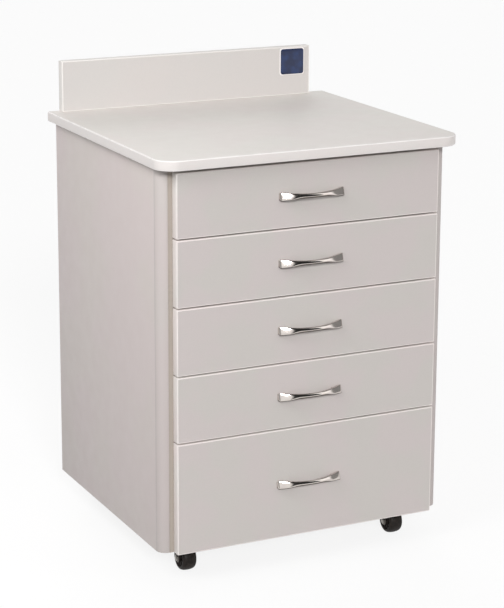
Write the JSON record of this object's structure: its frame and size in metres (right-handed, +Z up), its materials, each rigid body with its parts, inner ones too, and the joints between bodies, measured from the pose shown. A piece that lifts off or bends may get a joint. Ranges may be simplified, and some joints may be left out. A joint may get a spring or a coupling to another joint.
{
  "type": "mobile dental cabinet",
  "caption": "Mobile laminate cabinet on swivel casters, with a work top, a low splash board along its rear and full-width drawers with bow pulls, the lowest one deeper.",
  "frame": {"origin": "on the floor, under the middle of the work top's outline", "axes": "+Z up, +X to the right seen from the front, +Y from the drawer fronts to the rear; the drawers open towards -Y"},
  "size_m": [0.61, 0.558, 0.9],
  "materials": {
    "worktop_laminate": "satin light warm grey laminate on board",
    "edge_band": "satin pale edge band",
    "side_laminate": "satin warm grey laminate on board",
    "front_laminate": "satin warm grey laminate on board with paler edges",
    "carcass_board": "matt beige board",
    "drawer_board": "matt white melamine board",
    "polished_nickel": "polished warm nickel plate on cast metal",
    "zinc_steel": "bright zinc-plated steel",
    "caster_steel": "black painted pressed steel",
    "axle_steel": "dull steel",
    "caster_wheel": "black moulded rubber with a slight sheen"
  },
  "bodies": {
    "cabinet": {"worktop": "worktop_laminate", "worktop_edge_band": "edge_band", "backsplash": "worktop_laminate", "side_panel_left": "side_laminate", "side_panel_right": "side_laminate", "carcass_side_left": "carcass_board", "carcass_side_right": "carcass_board", "back_panel": "carcass_board", "bottom_panel": "carcass_board", "top_rails": "carcass_board", "slide_cabinet": "zinc_steel", "caster_plates": "caster_steel", "caster_screws": "zinc_steel"},
    "drawer_1": {"drawer_front_1": "front_laminate", "drawer_box_1": "drawer_board", "drawer_floor_1": "drawer_board", "handle_1": "polished_nickel", "handle_screws_1": "zinc_steel", "slide_drawer_1": "zinc_steel"},
    "slide_1": {"slide_middle_1": "zinc_steel"},
    "drawer_2": {"drawer_front_2": "front_laminate", "drawer_box_2": "drawer_board", "drawer_floor_2": "drawer_board", "handle_2": "polished_nickel", "handle_screws_2": "zinc_steel", "slide_drawer_2": "zinc_steel"},
    "slide_2": {"slide_middle_2": "zinc_steel"},
    "drawer_3": {"drawer_front_3": "front_laminate", "drawer_box_3": "drawer_board", "drawer_floor_3": "drawer_board", "handle_3": "polished_nickel", "handle_screws_3": "zinc_steel", "slide_drawer_3": "zinc_steel"},
    "slide_3": {"slide_middle_3": "zinc_steel"},
    "drawer_4": {"drawer_front_4": "front_laminate", "drawer_box_4": "drawer_board", "drawer_floor_4": "drawer_board", "handle_4": "polished_nickel", "handle_screws_4": "zinc_steel", "slide_drawer_4": "zinc_steel"},
    "slide_4": {"slide_middle_4": "zinc_steel"},
    "drawer_5": {"drawer_front_5": "front_laminate", "drawer_box_5": "drawer_board", "drawer_floor_5": "drawer_board", "handle_5": "polished_nickel", "handle_screws_5": "zinc_steel", "slide_drawer_5": "zinc_steel"},
    "slide_5": {"slide_middle_5": "zinc_steel"},
    "swivel_front_left": {"caster_fork_front_left": "caster_steel", "caster_axle_front_left": "axle_steel"},
    "wheel_front_left": {"caster_wheel_front_left": "caster_wheel"},
    "swivel_front_right": {"caster_fork_front_right": "caster_steel", "caster_axle_front_right": "axle_steel"},
    "wheel_front_right": {"caster_wheel_front_right": "caster_wheel"},
    "swivel_rear_left": {"caster_fork_rear_left": "caster_steel", "caster_axle_rear_left": "axle_steel"},
    "wheel_rear_left": {"caster_wheel_rear_left": "caster_wheel"},
    "swivel_rear_right": {"caster_fork_rear_right": "caster_steel", "caster_axle_rear_right": "axle_steel"},
    "wheel_rear_right": {"caster_wheel_rear_right": "caster_wheel"}
  },
  "joints": [
    {"name": "drawer_1_pull", "type": "slide", "parent": "cabinet", "child": "drawer_1", "axis": [0, -1, 0], "range_m": [0, 0.44]},
    {"name": "slide_1_travel", "type": "slide", "parent": "cabinet", "child": "slide_1", "axis": [0, -1, 0], "range_m": [0, 0.22]},
    {"name": "drawer_2_pull", "type": "slide", "parent": "cabinet", "child": "drawer_2", "axis": [0, -1, 0], "range_m": [0, 0.44]},
    {"name": "slide_2_travel", "type": "slide", "parent": "cabinet", "child": "slide_2", "axis": [0, -1, 0], "range_m": [0, 0.22]},
    {"name": "drawer_3_pull", "type": "slide", "parent": "cabinet", "child": "drawer_3", "axis": [0, -1, 0], "range_m": [0, 0.44]},
    {"name": "slide_3_travel", "type": "slide", "parent": "cabinet", "child": "slide_3", "axis": [0, -1, 0], "range_m": [0, 0.22]},
    {"name": "drawer_4_pull", "type": "slide", "parent": "cabinet", "child": "drawer_4", "axis": [0, -1, 0], "range_m": [0, 0.44]},
    {"name": "slide_4_travel", "type": "slide", "parent": "cabinet", "child": "slide_4", "axis": [0, -1, 0], "range_m": [0, 0.22]},
    {"name": "drawer_5_pull", "type": "slide", "parent": "cabinet", "child": "drawer_5", "axis": [0, -1, 0], "range_m": [0, 0.44]},
    {"name": "slide_5_travel", "type": "slide", "parent": "cabinet", "child": "slide_5", "axis": [0, -1, 0], "range_m": [0, 0.22]},
    {"name": "swivel_front_left_turn", "type": "hinge", "parent": "cabinet", "child": "swivel_front_left", "pos_m": [-0.221, -0.207, 0.06], "axis": [0, 0, 1], "continuous": true},
    {"name": "wheel_front_left_roll", "type": "hinge", "parent": "swivel_front_left", "child": "wheel_front_left", "pos_m": [-0.221, -0.187, 0.025], "axis": [1, 0, 0], "continuous": true},
    {"name": "swivel_front_right_turn", "type": "hinge", "parent": "cabinet", "child": "swivel_front_right", "pos_m": [0.221, -0.207, 0.06], "axis": [0, 0, 1], "continuous": true},
    {"name": "wheel_front_right_roll", "type": "hinge", "parent": "swivel_front_right", "child": "wheel_front_right", "pos_m": [0.221, -0.187, 0.025], "axis": [1, 0, 0], "continuous": true},
    {"name": "swivel_rear_left_turn", "type": "hinge", "parent": "cabinet", "child": "swivel_rear_left", "pos_m": [-0.221, 0.21, 0.06], "axis": [0, 0, 1], "continuous": true},
    {"name": "wheel_rear_left_roll", "type": "hinge", "parent": "swivel_rear_left", "child": "wheel_rear_left", "pos_m": [-0.221, 0.23, 0.025], "axis": [1, 0, 0], "continuous": true},
    {"name": "swivel_rear_right_turn", "type": "hinge", "parent": "cabinet", "child": "swivel_rear_right", "pos_m": [0.221, 0.21, 0.06], "axis": [0, 0, 1], "continuous": true},
    {"name": "wheel_rear_right_roll", "type": "hinge", "parent": "swivel_rear_right", "child": "wheel_rear_right", "pos_m": [0.221, 0.23, 0.025], "axis": [1, 0, 0], "continuous": true}
  ],
  "couplings": [
    {"joint": "slide_1_travel", "follows": "drawer_1_pull", "ratio": 0.5},
    {"joint": "slide_2_travel", "follows": "drawer_2_pull", "ratio": 0.5},
    {"joint": "slide_3_travel", "follows": "drawer_3_pull", "ratio": 0.5},
    {"joint": "slide_4_travel", "follows": "drawer_4_pull", "ratio": 0.5},
    {"joint": "slide_5_travel", "follows": "drawer_5_pull", "ratio": 0.5}
  ]
}
